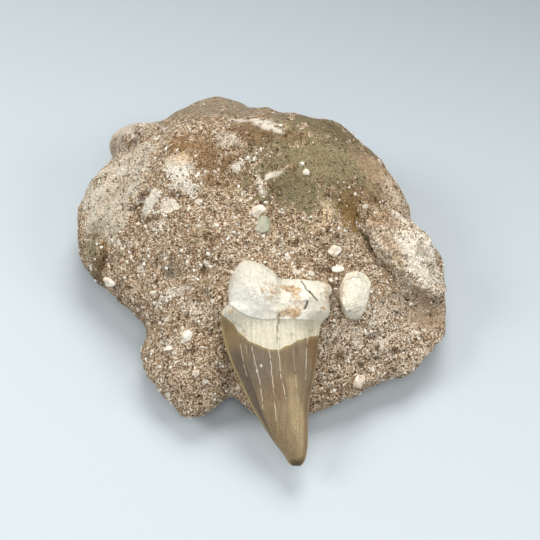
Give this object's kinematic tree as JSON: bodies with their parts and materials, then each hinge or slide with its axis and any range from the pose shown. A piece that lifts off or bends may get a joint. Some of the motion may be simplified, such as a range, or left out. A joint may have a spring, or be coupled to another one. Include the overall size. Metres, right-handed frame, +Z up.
{
  "type": "fossil shark tooth in matrix",
  "caption": "Fossil shark tooth with its pale root, lying on a rough piece of sandy rock and pointing down its front slope; a display piece that rests on a small flat spot.",
  "frame": {"origin": "on the flat spot under the rock that it rests on, near the middle of the rock", "axes": "+Z up; +Y to the back, up the slope, so the tooth points towards -Y; +X to the right, where the pale lump is"},
  "size_m": [0.1067, 0.1158, 0.0396],
  "materials": {
    "sandy_matrix": "matte",
    "tooth_enamel": "satin",
    "fossil_root": "matte",
    "chalky_clast": "matte",
    "bone_and_shell": "matte",
    "green_mineral": "matte"
  },
  "bodies": {
    "root": {"matrix_rock": "sandy_matrix", "shark_tooth": "tooth_enamel", "root_lobe_tip": "fossil_root", "chalk_lump": "chalky_clast", "bone_pebble": "bone_and_shell", "bone_chip": "bone_and_shell", "white_chip": "bone_and_shell", "green_crystal": "green_mineral", "shell_disc": "bone_and_shell", "left_sliver": "bone_and_shell", "pink_pebble": "bone_and_shell", "white_blob": "bone_and_shell", "front_sliver": "bone_and_shell", "front_chip": "bone_and_shell", "edge_pebble": "bone_and_shell"}
  },
  "joints": []
}
